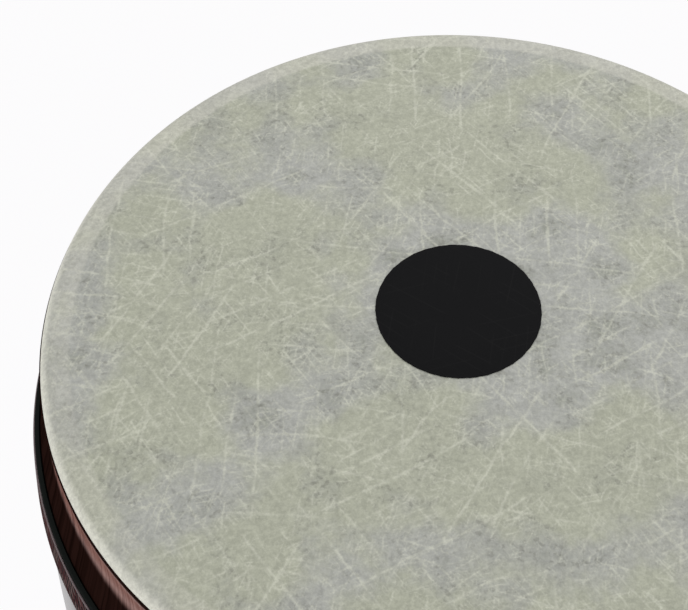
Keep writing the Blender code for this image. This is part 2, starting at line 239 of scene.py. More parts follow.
def settle(piece, body, slot, *replaced):
    """Say which body a piece moves with and hide the CAD nodes it stands for. The slot is not used.
    """
    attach(piece, body)
    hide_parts(*replaced)


# Floor and light
# A pale, seamless floor with one large soft lamp above and behind the drum, which makes the far
# side of the head the lighter one, and a fill at the left, in an even white room. A colour renders
# about as it is written.
FLOOR_SIZE = 12.0
PAGE_SHARE = 0.97
ROOM_STRENGTH = 0.52
KEY_POWER = 13.3
FILL_POWER = 13

half = FLOOR_SIZE / 2
floor_mesh = bpy.data.meshes.new("floor")
floor_mesh.from_pydata(
    [(-half, -half, 0), (half, -half, 0), (half, half, 0), (-half, half, 0)], [], [(0, 1, 2, 3)]
)
floor_finish = Finish("floor_paper", 0.9, specular=0.1)
floor_finish.set("Base Color", (0.86, 0.86, 0.865))
ray = floor_finish.node("ShaderNodeLightPath", {}, {}, "Is Camera Ray")
seen = ray + ray.out("Is Glossy Ray") + ray.out("Is Transmission Ray")
page = floor_finish.node("ShaderNodeEmission", {}, {"Color": (0.984, 0.979, 0.987, 1.0)})
paper = Tone(floor_finish, floor_finish.shader.outputs[0])
mixed = floor_finish.node("ShaderNodeMixShader", {}, {0: seen * PAGE_SHARE, 1: paper, 2: page})
surface = floor_finish.tree.nodes["Material Output"].inputs["Surface"]
floor_finish.tree.links.new(mixed.socket, surface)
floor = show("floor", floor_mesh, floor_finish)
floor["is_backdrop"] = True

world = bpy.data.worlds.new("room")
scene.world = world
world.use_nodes = True
world.node_tree.nodes["Background"].inputs["Color"].default_value = (0.98, 0.98, 1.0, 1.0)
world.node_tree.nodes["Background"].inputs["Strength"].default_value = ROOM_STRENGTH


def soft_lamp(name, place, aim, size, power):
    lamp_data = bpy.data.lights.new(name, "AREA")
    lamp_data.size = size
    lamp_data.energy = power
    lamp = bpy.data.objects.new(name, lamp_data)
    lamp.location = place
    lamp.rotation_euler = (Vector(aim) - Vector(place)).to_track_quat("-Z", "Y").to_euler()
    scene.collection.objects.link(lamp)


soft_lamp("key_lamp", (0.35, 0.85, 2.0), (0, 0, 0.7), 1.4, KEY_POWER)
soft_lamp("fill_lamp", (-1.6, -1.6, 1.6), (0, 0, 0.4), 1.8, FILL_POWER)

# Shell
# Eighteen hardwood staves, glued edge to edge, turned on a lathe with a shallow cove under the
# head, stained a dark red-brown that is darker near the head, and lacquered outside. The upper
# half of the cove carries a pale red painted highlight, the lacquer's sheen painted into the stain,
# and the wood is left bare inside.
BELLY_DEPTH = 0.253
MOUTH_RADIUS = 0.1484
BELLY_RADIUS = 0.1743
FOOT_RADIUS = 0.118
WALL = 0.011
STAVES = 18
HALF_FACET = pi / STAVES / 3
LEDGE_DEPTH = 0.0051
LEDGE_CORNER = 0.0004
MOUTH_FULLNESS = 0.0010
LEDGE_CUT = 0.00096
COVE_CUT = 0.00238
COVE_END = 0.0384
# Depths over which the cove's painted highlight fades in and fades out.
COVE_HIGHLIGHT_START = (0.0062, 0.0086)
COVE_HIGHLIGHT_END = (0.0186, 0.0254)
COVE_FRAY = 0.002
COVE_GLOSS = 0.30
COLLAR_FADE = (0.055, 0.16)
GLOSS_START = (0.058, 0.080)
BODY_GLOSS = 0.85
STAVE_WIDTH = 0.052
STAVE_SHIFT = (0.37, 0.83, 0.19)
CREST_INNER_RADIUS = 0.1405
INNER_BEVEL = 0.003
FILM_THICKNESS = 0.00035
EDGE_ROUND = 0.006
GLUE_LINE = 0.00012
SHELL_STATIONS = 120
FINE_STEPS = 360
FOOT_BASE = 0.0073
BARE_BELOW = 0.010


def srgb(red, green, blue):
    """A colour given as 0 to 255 screen values, as linear values."""
    def linear(value):
        value /= 255
        return value / 12.92 if value <= 0.04045 else ((value + 0.055) / 1.055) ** 2.4
    return (linear(red), linear(green), linear(blue))


def arc(centre, radius, start, end, steps):
    """Points of an arc from one angle to another, both included."""
    step = (end - start) / steps
    return [
        (centre[0] + radius * cos(start + step * i), centre[1] + radius * sin(start + step * i))
        for i in range(steps + 1)
    ]


def turned_mesh(name, points, steps=288, closed=True):
    """Turned shape: a profile of (radius, height) points swept round Z into a closed mesh."""
    bm = bmesh.new()
    rings = []
    for r, z in points:
        angles = [2 * pi * i / steps for i in range(steps if r > 1e-7 else 1)]
        rings.append([bm.verts.new((r * cos(a), r * sin(a), z)) for a in angles])
    pairs = list(zip(rings, rings[1:]))
    if closed:
        pairs.append((rings[-1], rings[0]))
    for upper, lower in pairs:
        for i in range(steps):
            j = (i + 1) % steps
            corners = [upper[i % len(upper)], lower[i % len(lower)]]
            corners += [lower[j % len(lower)], upper[j % len(upper)]]
            corners = list(dict.fromkeys(corners))
            if len(corners) > 2:
                bm.faces.new(corners)
    bmesh.ops.recalc_face_normals(bm, faces=bm.faces)
    mesh = bpy.data.meshes.new(name)
    bm.to_mesh(mesh)
    bm.free()
    return mesh


def barrel_radius(depth):
    """Radius of the barrel's even curve at a depth below the playing surface."""
    if depth < BELLY_DEPTH:
        return BELLY_RADIUS - (BELLY_RADIUS - MOUTH_RADIUS) * (1 - depth / BELLY_DEPTH) ** 2
    fall = (depth - BELLY_DEPTH) / (HEIGHT - BELLY_DEPTH)
    return BELLY_RADIUS - (BELLY_RADIUS - FOOT_RADIUS) * (1 - cos(fall * pi / 2))


def shell_radius(depth):
    """Outside radius of the shell: fuller than the barrel's curve, less the cove under the head."""
    rise = max(0.0, 1 - depth / BELLY_DEPTH)
    share = min(1.0, (depth - LEDGE_DEPTH) / (COVE_END - LEDGE_DEPTH))
    cove = LEDGE_CUT * (1 - share) + COVE_CUT * sin(pi * share)
    return barrel_radius(depth) + MOUTH_FULLNESS * rise ** 2 - cove


def shell_point(depth, offset=0.0):
    """Profile point (radius, height) at a depth, moved out from the shell by offset."""
    return (shell_radius(depth) + offset, HEIGHT - depth)


def stave_pattern(finish):
    """Each stave's own shade, its joints, and coordinates that run along its grain."""
    x, y, z = finish.split(finish.place)
    bearing = finish.node("ShaderNodeMath", {"operation": "ARCTAN2"}, {0: y, 1: x})
    row = bearing * (STAVES / (2 * pi)) + 0.5
    number = row.floor()
    along, across, down = [number * shift for shift in STAVE_SHIFT]
    sawn = finish.vector(row * STAVE_WIDTH + along, across, z + down)
    inputs = {"W": number * 1.37 + 0.2}
    shade = finish.node("ShaderNodeTexWhiteNoise", {"noise_dimensions": "1D"}, inputs)
    return shade, abs(row - number - 0.5), sawn


wood_finish = Finish("lacquered_wood", 0.45, specular=0.0)
shade, off_centre, sawn = stave_pattern(wood_finish)
joint = off_centre.ramp(0.492, 0.4992)
waver = wood_finish.noise(sawn, (9.0, 9.0, 3.0), 2.0)
wavy = wood_finish.on_vector("ADD", {0: sawn, 1: wood_finish.vector(waver * 0.014, 0.0, 0.0)})
figure = wood_finish.noise(wavy, (95.0, 30.0, 2.6), 3.0, 0.55)
grain = wood_finish.noise(wavy, (620.0, 90.0, 11.0), 3.0, 0.6)
pores = wood_finish.noise(wavy, (2400.0, 300.0, 75.0), 2.0, 0.6)
below_head = HEIGHT - wood_finish.split(wood_finish.place)[2]
stain = wood_finish.blend(figure.ramp(0.32, 0.68), srgb(46, 18, 12), srgb(86, 37, 23))
stain = wood_finish.blend(grain.ramp(0.40, 0.72) * 0.55, stain, srgb(28, 11, 8))
stain = wood_finish.blend(pores.ramp(0.58, 0.70) * 0.60, stain, srgb(14, 6, 4))
stain = wood_finish.blend(shade * 0.38, stain, srgb(36, 14, 10))
dark_collar = wood_finish.blend(grain.ramp(0.35, 0.70), srgb(41, 24, 20), srgb(25, 13, 10))
stain = wood_finish.blend(below_head.ramp(*COLLAR_FADE), dark_collar, stain)
# Pale red painted highlight in the upper cove: the lacquer's sheen, painted into the stain.
cove_highlight = wood_finish.blend(grain.ramp(0.36, 0.66), srgb(160, 117, 106), srgb(122, 78, 70))
cove_end = below_head + grain * COVE_FRAY
in_cove = below_head.ramp(*COVE_HIGHLIGHT_START) * cove_end.ramp(*COVE_HIGHLIGHT_END, 1.0, 0.0)
stain = wood_finish.blend(in_cove, stain, cove_highlight)
stain = wood_finish.blend(joint * 0.6, stain, srgb(12, 5, 4))
wood_finish.set("Base Color", stain)
gloss = in_cove * COVE_GLOSS + below_head.ramp(*GLOSS_START, 0.0, BODY_GLOSS)
wood_finish.set("Coat Weight", gloss)
wood_finish.set("Coat Roughness", 0.17)
wood_finish.bump(grain * 0.35 + pores * 0.25 - joint * 0.8, 0.00005)

bare_finish = Finish("bare_wood", 0.68, specular=0.3)
shade, off_centre, sawn = stave_pattern(bare_finish)
joint = off_centre.ramp(0.484, 0.498)
figure = bare_finish.noise(sawn, (80.0, 30.0, 2.2), 3.0, 0.6)
pores = bare_finish.noise(sawn, (1500.0, 200.0, 45.0), 2.0, 0.6)
sapwood = bare_finish.blend(figure.ramp(0.3, 0.7), srgb(182, 144, 104), srgb(154, 112, 76))
sapwood = bare_finish.blend(pores.ramp(0.55, 0.72) * 0.5, sapwood, srgb(108, 74, 48))
sapwood = bare_finish.blend(shade * 0.35, sapwood, srgb(140, 100, 68))
sapwood = bare_finish.blend(joint * 0.75, sapwood, srgb(96, 66, 42))
bare_finish.set("Base Color", sapwood)
bare_finish.bump(figure * 0.4 + pores * 0.4 - joint, 0.00012)

edge_centre = (HEAD_RADIUS - EDGE_ROUND, HEIGHT - EDGE_ROUND)
crest = EDGE_ROUND - FILM_THICKNESS - GLUE_LINE
crest_top = HEIGHT - FILM_THICKNESS - GLUE_LINE
first = LEDGE_DEPTH + LEDGE_CORNER
last = HEIGHT - FOOT_BASE
depths = [first + (last - first) * i / SHELL_STATIONS for i in range(SHELL_STATIONS + 1)]
ledge = (shell_radius(LEDGE_DEPTH) - LEDGE_CORNER, HEIGHT - LEDGE_DEPTH - LEDGE_CORNER)
shell_profile = arc(edge_centre, crest, pi / 2, asin((EDGE_ROUND - LEDGE_DEPTH) / crest), 10)
shell_profile += arc(ledge, LEDGE_CORNER, pi / 2, 0, 4)
shell_profile += [shell_point(depth) for depth in depths[1:]]
inner_depths = [depth for depth in reversed(depths) if depth > COVE_END / 2]
shell_profile += [(barrel_radius(depth) - WALL, HEIGHT - depth) for depth in inner_depths]
shell_profile += [
    (CREST_INNER_RADIUS - INNER_BEVEL, crest_top - INNER_BEVEL),
    (CREST_INNER_RADIUS, crest_top),
]
shell = show("shell_wood", turned_mesh("shell_wood", shell_profile, FINE_STEPS), wood_finish)
shell.data.materials.append(bare_finish.material)
for face in shell.data.polygons:
    spot = face.center
    midwall = shell_radius(HEIGHT - spot.z) - WALL / 2
    if hypot(spot.x, spot.y) < midwall and spot.z < HEIGHT - BARE_BELOW:
        face.material_index = 1
settle(shell, "drum", "lacquered_wood", *[f"stave_{i + 1:02d}" for i in range(STAVES)])

# Hoops
# A narrow hoop of steel painted satin black, shrunk onto the flare under the head, and another
# near the foot. Both hold the staves together, and each one's inner lower edge bites into the wood.
TOUCH_GAP = 0.0003
HOOP_THICKNESS = 0.0016
HOOP_ROUND = 0.0005
HOOP_BITE = 0.0003

hoop_finish = Finish("hoop_paint", 0.62, specular=0.0)
orange_peel = hoop_finish.noise(hoop_finish.place, 900.0, 2.0)
scuffs = hoop_finish.noise(hoop_finish.place, (45.0, 45.0, 1400.0), 3.0, 0.7)
hoop_tone = hoop_finish.blend(scuffs.ramp(0.58, 0.80) * 0.5, srgb(33, 36, 34), srgb(46, 48, 46))
hoop_finish.set("Base Color", hoop_tone)
hoop_finish.set("Roughness", scuffs.ramp(0.3, 0.8, 0.58, 0.70))
hoop_finish.bump(orange_peel, 0.00003)


def flared_section(high, low, thickness, rounding):
    """Closed section of a flat hoop with round edges that follows the shell's flare."""
    upper = shell_point(HEIGHT - high + rounding, TOUCH_GAP + thickness - rounding)
    lower = shell_point(HEIGHT - low - rounding, TOUCH_GAP + thickness - rounding)
    points = arc(upper, rounding, pi / 2, 0, 5)
    points += arc(lower, rounding, 0, -pi / 2, 5)
    points += [shell_point(HEIGHT - low, -HOOP_BITE), shell_point(HEIGHT - high, TOUCH_GAP)]
    return points


for node_name in ("upper_hoop", "lower_hoop"):
    low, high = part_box(node_name)
    section = flared_section(high.z, low.z, HOOP_THICKNESS, HOOP_ROUND)
    name = node_name + "_steel"
    hoop = show(name, turned_mesh(name, section, FINE_STEPS), hoop_finish)
    settle(hoop, "drum", "hoop_black", node_name)

# Woven band
# A tight band of dark dyed cord right under the upper hoop, woven in a twill whose strands all
# lean the same way, over a plain backing, with a thin lighter cord along its upper edge.
band_low, band_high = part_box("woven_band")
BAND_THICKNESS = 0.0023
STRAND_ROWS = 3
STRANDS_ROUND = 840
STRAND_LEAN = radians(20)
STRAND_RADIUS = 0.00050
STRAND_FLATNESS = 0.75
STRAND_OVERLAP = 0.60
DYE_SEED = 7
EDGE_CORD_RADIUS = 0.0004


class Pattern(Bench):
    """A Geometry Nodes tree that sets out repeated work from named sizes."""

    def __init__(self, name, sizes):
        super().__init__(bpy.data.node_groups.new(name, "GeometryNodeTree"))
        self.name = name
        self.sizes = sizes
        face = self.tree.interface
        for title, value in sizes.items():
            kind = "NodeSocketInt" if isinstance(value, int) else "NodeSocketFloat"
            face.new_socket(title, in_out="INPUT", socket_type=kind)
        face.new_socket("Geometry", in_out="OUTPUT", socket_type="NodeSocketGeometry")
        entry = self.tree.nodes.new("NodeGroupInput")
        self.size = {title: Tone(self, entry.outputs[title]) for title in sizes}

    def chance(self, low, high, seed):
        """A number for each point, drawn with a fixed seed."""
        inputs = {2: low, 3: high, "Seed": seed}
        return self.node("FunctionNodeRandomValue", {"data_type": "FLOAT"}, inputs, 1)

    def made(self, geometry, finish):
        """What the tree makes, as one plain mesh."""
        real = self.node("GeometryNodeRealizeInstances", {}, {"Geometry": geometry})
        inputs = {"Geometry": real, "Material": finish.material}
        dressed = self.node("GeometryNodeSetMaterial", {}, inputs)
        outlet = self.tree.nodes.new("NodeGroupOutput")
        self.tree.links.new(dressed.socket, outlet.inputs["Geometry"])
        holder = bpy.data.objects.new(self.name, bpy.data.meshes.new(self.name))
        scene.collection.objects.link(holder)
        modifier = holder.modifiers.new("pattern", "NODES")
        modifier.node_group = self.tree
        for socket in self.tree.interface.items_tree:
            if socket.in_out == "INPUT":
                modifier[socket.identifier] = self.sizes[socket.name]
        mesh = evaluated_mesh(holder, self.name)
        bpy.data.objects.remove(holder)
        return mesh


def evaluated_mesh(piece, name):
    """The mesh of a working object as its modifiers leave it."""
    bpy.context.view_layer.update()
    evaluated = piece.evaluated_get(bpy.context.evaluated_depsgraph_get())
    mesh = bpy.data.meshes.new_from_object(evaluated)
    mesh.name = name
    return mesh


band_finish = Finish("woven_cord", 0.78, specular=0.25)
dye = band_finish.node("ShaderNodeAttribute", {"attribute_name": "dye"}, {}, "Fac")
fuzz = band_finish.noise(band_finish.place, 2600.0, 2.0, 0.6)
band_tone = band_finish.blend(dye.ramp(0.30, 0.55), srgb(13, 7, 7), srgb(78, 25, 28))
band_tone = band_finish.blend(dye.ramp(0.70, 0.92), band_tone, srgb(116, 94, 90))
band_tone = band_finish.blend(fuzz.ramp(0.4, 0.8) * 0.3, band_tone, srgb(22, 12, 12))
band_finish.set("Base Color", band_tone)
band_finish.bump(fuzz, 0.00005)

strand_face = TOUCH_GAP + BAND_THICKNESS - STRAND_RADIUS * STRAND_FLATNESS
tip_reach = (band_high.z - band_low.z) / STRAND_ROWS * (STRAND_OVERLAP - 0.5)
strands_high = band_high.z - 2 * EDGE_CORD_RADIUS - tip_reach
strands_low = band_low.z
band = Pattern(
    "woven_strands",
    {
        "Rows": STRAND_ROWS,
        "Around": STRANDS_ROUND,
        "Top Radius": shell_radius(HEIGHT - strands_high) + strand_face,
        "Bottom Radius": shell_radius(HEIGHT - strands_low) + strand_face,
        "Top Level": strands_high,
        "Bottom Level": strands_low,
        "Strand Radius": STRAND_RADIUS,
        "Lean": STRAND_LEAN,
    },
)
size = band.size
index = band.node("GeometryNodeInputIndex", {}, {})
row = ((index + 0.5) / size["Around"]).floor()
column = index % size["Around"] + row * 0.5
bearing = column / size["Around"] * (2 * pi)
share = (row + 0.5) / size["Rows"]
spread = size["Bottom Radius"] - size["Top Radius"]
drop = size["Top Level"] - size["Bottom Level"]
reach = share * spread + size["Top Radius"]
level = size["Top Level"] - share * drop
place = band.vector(reach * bearing.cos(), reach * bearing.sin(), level)
count = size["Rows"] * size["Around"]
points = band.node("GeometryNodePoints", {}, {"Count": count, "Position": place})
flare = band.node("ShaderNodeMath", {"operation": "ARCTAN2"}, {0: spread, 1: drop})
half_length = drop / size["Rows"] * STRAND_OVERLAP / size["Lean"].cos()
girth = size["Strand Radius"]
strand = band.node("GeometryNodeMeshUVSphere", {}, {"Segments": 6, "Rings": 5, "Radius": 1.0})
placed = band.node(
    "GeometryNodeInstanceOnPoints",
    {},
    {
        "Points": points,
        "Instance": strand,
        "Rotation": band.vector(size["Lean"], flare * -1.0, bearing),
        "Scale": band.vector(girth * STRAND_FLATNESS, girth, half_length),
    },
)
pale = (index % 2.0) * 0.5
dyed = band.node(
    "GeometryNodeStoreNamedAttribute",
    {"data_type": "FLOAT", "domain": "INSTANCE"},
    {"Geometry": placed, "Name": "dye", "Value": pale + band.chance(0.0, 0.5, DYE_SEED)},
)
strands = show("woven_strands", band.made(dyed, band_finish), band_finish)

backing_finish = Finish("woven_backing", 0.85, specular=0.2)
rib = backing_finish.noise(backing_finish.place, 1400.0, 2.0)
backing_finish.set("Base Color", backing_finish.blend(rib, srgb(12, 7, 7), srgb(28, 15, 15)))
backing_finish.bump(rib, 0.00008)
backing_section = flared_section(
    band_high.z, band_low.z, BAND_THICKNESS - 2 * STRAND_RADIUS * STRAND_FLATNESS, 0.0004
)
backing = show("woven_backing", turned_mesh("woven_backing", backing_section), backing_finish)

edge_finish = Finish("edge_cord", 0.7, specular=0.25)
twist = edge_finish.noise(edge_finish.place, 1600.0, 1.0)
edge_finish.set("Base Color", edge_finish.blend(twist, srgb(108, 96, 98), srgb(146, 132, 132)))
edge_finish.bump(twist, 0.00004)
cord_centre = (
    shell_radius(HEIGHT - band_high.z) + TOUCH_GAP + BAND_THICKNESS - EDGE_CORD_RADIUS,
    band_high.z - EDGE_CORD_RADIUS,
)
cord_section = arc(cord_centre, EDGE_CORD_RADIUS, 0, -2 * pi * 9 / 10, 9)
edge_cord = show("band_edge_cord", turned_mesh("band_edge_cord", cord_section), edge_finish)
for piece in (strands, backing, edge_cord):
    settle(piece, "drum", "woven_band", "woven_band")

# Foot ring
# A moulded rubber ring, stretched over the shell's foot, that grips the floor and guards the edge.
FOOT_LIP_THICKNESS = 0.003
FOOT_LIP_ROUND = 0.0012
FOOT_ROUND = 0.003
FOOT_INNER_RADIUS = 0.1065
foot_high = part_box("foot_ring")[1]

rubber_finish = Finish("foot_rubber", 0.72, specular=0.35)
bloom = rubber_finish.noise(rubber_finish.place, 30.0, 4.0, 0.6)
stipple = rubber_finish.noise(rubber_finish.place, 1100.0, 2.0)
dust = rubber_finish.split(rubber_finish.place)[2].ramp(0.0, 0.012, 0.5, 0.0)
rubber_tone = rubber_finish.blend(bloom.ramp(0.4, 0.7), srgb(24, 24, 24), srgb(40, 39, 38))
rubber_finish.set("Base Color", rubber_finish.blend(dust * bloom, rubber_tone, srgb(96, 92, 86)))
rubber_finish.set("Roughness", bloom.ramp(0.3, 0.7, 0.60, 0.80))
rubber_finish.bump(stipple, 0.00006)
outset = TOUCH_GAP + FOOT_LIP_THICKNESS
lip_top = shell_point(HEIGHT - foot_high.z + FOOT_LIP_ROUND, outset - FOOT_LIP_ROUND)
base = shell_radius(HEIGHT) + outset
foot_profile = arc(lip_top, FOOT_LIP_ROUND, pi / 2, 0, 5)
foot_profile += arc((base - FOOT_ROUND, FOOT_ROUND), FOOT_ROUND, 0, -pi / 2, 8)
foot_profile += [
    (FOOT_INNER_RADIUS, 0.0),
    (FOOT_INNER_RADIUS, FOOT_BASE - TOUCH_GAP),
    shell_point(HEIGHT - FOOT_BASE + TOUCH_GAP, TOUCH_GAP),
    shell_point(HEIGHT - foot_high.z, TOUCH_GAP),
]
foot = show("foot_rubber_ring", turned_mesh("foot_rubber_ring", foot_profile), rubber_finish)
settle(foot, "drum", "foot_rubber", "foot_ring")

# Brackets and their wood screws
# Six angle brackets cut from steel bar and zinc-plated, each with a tapped shelf for its lifting
# screw and a flange held to the bare inside of the shell by two pan-head wood screws.
TUNERS = 6
bracket_low, bracket_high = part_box("tuning_bracket_1")
BRACKET_WIDTH = 0.020
SHELF_THICKNESS = 0.008
FLANGE_THICKNESS = 0.0035
WALL_CLEARANCE = 0.0005
BRACKET_FILLET = 0.006
BRACKET_BEVEL = 0.0005
NOSE_ROUND = 0.008
SCREW_AXIS_RADIUS = 0.1275
TAPPED_RADIUS = 0.0043
TAP_REACH = 0.020
HOLE_RADIUS = 0.0022
HOLE_REACH = 0.012
SCREW_DROPS = (0.017, 0.036)
PAN_RADIUS = 0.0038
PAN_HEIGHT = 0.0024
PAN_CORNER = 0.0010
PAN_CREST_RADIUS = 0.45 * PAN_RADIUS
PAN_CREST_HEIGHT = 0.97 * PAN_HEIGHT
PAN_SHOULDER_HEIGHT = 0.86 * PAN_HEIGHT
SHANK_RADIUS = 0.0019
SHANK_LENGTH = 0.0115
SHANK_POINT = 0.002
RECESS_WIDTH = 0.0009
RECESS_LENGTH = 0.0042
RECESS_DEPTH = 0.0015
RECESS_TAPER = (0.45, 0.70, 1.0)
TWIST_SEED = 3

steel_finish = Finish("plated_steel", 0.34, 1.0)
plating = steel_finish.noise(steel_finish.place, 140.0, 4.0, 0.6)
scratches = steel_finish.noise(steel_finish.place, (2500.0, 2500.0, 140.0), 2.0)
steel_finish.set("Base Color", steel_finish.blend(plating, (0.42, 0.42, 0.40), (0.64, 0.63, 0.59)))
steel_finish.set("Roughness", scratches.ramp(0.3, 0.7, 0.28, 0.46))
steel_finish.bump(scratches * 0.6 + plating * 0.4, 0.00002)


def flange_back(depth):
    """Radius of the bracket's back face, clear of the shell's inner wall."""
    return (barrel_radius(depth) - WALL) * cos(HALF_FACET) - WALL_CLEARANCE


def working_piece(name, bm, matrix):
    """An object that only helps to shape others."""
    mesh = bpy.data.meshes.new(name)
    bm.to_mesh(mesh)
    bm.free()
    piece = bpy.data.objects.new(name, mesh)
    piece.matrix_world = matrix
    scene.collection.objects.link(piece)
    return piece


def set_round(mesh, number, reach=0.0):
    """A copy of a mesh, moved out by reach and turned to one of the tuners' places."""
    placed = mesh.copy()
    turned = Matrix.Rotation(2 * pi * number / TUNERS, 4, "Z")
    placed.transform(turned @ Matrix.Translation((reach, 0.0, 0.0)))
    return placed


def drill(name, radius, length, matrix):
    """A cylinder for a hole, centred on its matrix and lying along its Z."""
    bm = bmesh.new()
    bmesh.ops.create_cone(
        bm, cap_ends=True, segments=32, radius1=radius, radius2=radius, depth=length
    )
    return working_piece(name, bm, matrix)


def cut(blank, tools):
    """The mesh of a piece less the shapes of the tools, all of which are used up."""
    for tool in tools:
        modifier = blank.modifiers.new(tool.name, "BOOLEAN")
        modifier.object = tool
        modifier.operation = "DIFFERENCE"
    result = evaluated_mesh(blank, blank.name)
    for used in (blank, *tools):
        bpy.data.objects.remove(used)
    return result


nose = bracket_low.x
back_top = Vector((flange_back(HEIGHT - bracket_high.z), 0.0, bracket_high.z))
back_low = Vector((flange_back(HEIGHT - bracket_low.z), 0.0, bracket_low.z))
slope = (back_low.x - back_top.x) / (back_top.z - back_low.z)
under = bracket_high.z - SHELF_THICKNESS
face_under = back_top.x - FLANGE_THICKNESS + slope * SHELF_THICKNESS
bracket_side = [(nose, under), (nose, bracket_high.z), (back_top.x, back_top.z)]
bracket_side += [(back_low.x, back_low.z), (back_low.x - FLANGE_THICKNESS, back_low.z)]
bracket_side += arc(
    (face_under - BRACKET_FILLET, under - BRACKET_FILLET), BRACKET_FILLET, 0, pi / 2, 8
)
bm = bmesh.new()
side = bm.faces.new([bm.verts.new((r, -BRACKET_WIDTH / 2, z)) for r, z in bracket_side])
extruded = bmesh.ops.extrude_face_region(bm, geom=[side])["geom"]
far_side = [item for item in extruded if isinstance(item, bmesh.types.BMVert)]
bmesh.ops.translate(bm, verts=far_side, vec=(0.0, BRACKET_WIDTH, 0.0))
bmesh.ops.recalc_face_normals(bm, faces=bm.faces)
nose_corners = [
    edge
    for edge in bm.edges
    if all(vert.co.x < nose + WALL_CLEARANCE for vert in edge.verts)
    and abs(edge.verts[0].co.z - edge.verts[1].co.z) > WALL_CLEARANCE
]
rounded = {"affect": "EDGES", "profile": 0.5}
bmesh.ops.bevel(bm, geom=nose_corners, offset=NOSE_ROUND, segments=10, **rounded)
rims = [edge for edge in bm.edges if edge.calc_face_angle(0.0) > radians(50)]
bmesh.ops.bevel(bm, geom=rims, offset=BRACKET_BEVEL, segments=2, **rounded)

down = (back_low - back_top).normalized()
outward = Vector((-down.z, 0.0, down.x))
lean = atan2(outward.x, outward.z)
seats = [back_top + down * drop - outward * FLANGE_THICKNESS for drop in SCREW_DROPS]
tap_place = Matrix.Translation((SCREW_AXIS_RADIUS, 0.0, under))
tools = [drill("tapped_hole", TAPPED_RADIUS, TAP_REACH, tap_place)]
for seat in seats:
    place = Matrix.Translation(seat) @ Matrix.Rotation(lean, 4, "Y")
    tools.append(drill("flange_hole", HOLE_RADIUS, HOLE_REACH, place))
bracket_mesh = cut(working_piece("bracket", bm, Matrix.Identity(4)), tools)
for i in range(TUNERS):
    placed = set_round(bracket_mesh, i)
    bracket = show(f"bracket_{i + 1}", placed, steel_finish, radians(30))
    settle(bracket, "drum", "plated_steel", f"tuning_bracket_{i + 1}")

pan_shoulder = (PAN_RADIUS - PAN_CORNER, PAN_SHOULDER_HEIGHT - PAN_CORNER)
screw_profile = [(0.0, PAN_HEIGHT), (PAN_CREST_RADIUS, PAN_CREST_HEIGHT)]
screw_profile += arc(pan_shoulder, PAN_CORNER, pi / 2, 0, 5)
screw_profile += [(PAN_RADIUS, 0.0), (SHANK_RADIUS, 0.0)]
screw_profile += [(SHANK_RADIUS, SHANK_POINT - SHANK_LENGTH), (0.0, -SHANK_LENGTH)]
screw_mesh = turned_mesh("wood_screw", screw_profile, 32, closed=False)
wood_screw = bpy.data.objects.new("wood_screw", screw_mesh)
scene.collection.objects.link(wood_screw)
recess = []
for quarter in range(2):
    bm = bmesh.new()
    bmesh.ops.create_cube(bm, size=1.0)
    bmesh.ops.scale(bm, vec=(RECESS_LENGTH, RECESS_WIDTH, 2 * RECESS_DEPTH), verts=bm.verts)
    deep = [vert for vert in bm.verts if vert.co.z < 0]
    bmesh.ops.scale(bm, vec=RECESS_TAPER, verts=deep)
    place = Matrix.Translation((0.0, 0.0, PAN_HEIGHT)) @ Matrix.Rotation(quarter * pi / 2, 4, "Z")
    recess.append(working_piece("recess", bm, place))
recessed = bpy.data.objects.new("recessed_screw", cut(wood_screw, recess))
scene.collection.objects.link(recessed)

screws = Pattern(
    "wood_screws",
    {
        "Brackets": TUNERS,
        "Upper Radius": seats[0].x,
        "Upper Level": seats[0].z,
        "Lower Radius": seats[1].x,
        "Lower Level": seats[1].z,
        "Clearance": TOUCH_GAP,
        "Lean": pi + lean,
        "Twist": pi / 2,
    },
)
size = screws.size
index = screws.node("GeometryNodeInputIndex", {}, {})
bearing = (index * 0.5).floor() / size["Brackets"] * (2 * pi)
is_lower = index % 2.0
reach = size["Upper Radius"] + is_lower * (size["Lower Radius"] - size["Upper Radius"])
reach = reach - size["Clearance"]
level = size["Upper Level"] + is_lower * (size["Lower Level"] - size["Upper Level"])
place = screws.vector(reach * bearing.cos(), reach * bearing.sin(), level)
count = size["Brackets"] * 2.0
points = screws.node("GeometryNodePoints", {}, {"Count": count, "Position": place})
model = screws.node("GeometryNodeObjectInfo", {}, {"Object": recessed}, "Geometry")
driven = screws.node(
    "GeometryNodeInstanceOnPoints",
    {},
    {
        "Points": points,
        "Instance": model,
        "Rotation": screws.vector(0.0, size["Lean"], bearing),
    },
)
twist_angle = screws.chance(0.0, size["Twist"], TWIST_SEED)
twisted = screws.node(
    "GeometryNodeRotateInstances",
    {},
    {"Instances": driven, "Rotation": screws.vector(0.0, 0.0, twist_angle)},
)
wood_screws = show("bracket_wood_screws", screws.made(twisted, steel_finish), steel_finish)
bpy.data.objects.remove(recessed)
settle(
    wood_screws,
    "drum",
    "plated_steel",
    *[f"bracket_screw_{i + 1}{letter}" for i in range(TUNERS) for letter in "ab"],
)

# Lifting screws
# Six hex-head screws of plated steel with an 8 mm right-hand thread. Each runs in its bracket's
# shelf, and its plain tip turns in a cup under the tuning ring.
bolt_low, bolt_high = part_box("lifting_screw_1")
TIP_RADIUS = 0.003
TIP_LENGTH = 0.0032
TIP_BEVEL = 0.0006
THREAD_PITCH = 0.00125
THREAD_RADIUS = 0.004
ROOT_RADIUS = 0.00335
THREAD_RISE = 0.00075
THREAD_STEPS = 20
RIDGE_FOOT_SHARE = 0.86
RIDGE_CREST_SHARE = 0.16
HEX_HEIGHT = 0.0055
HEX_RADIUS = 0.0075
HEX_BEVEL = 0.0004

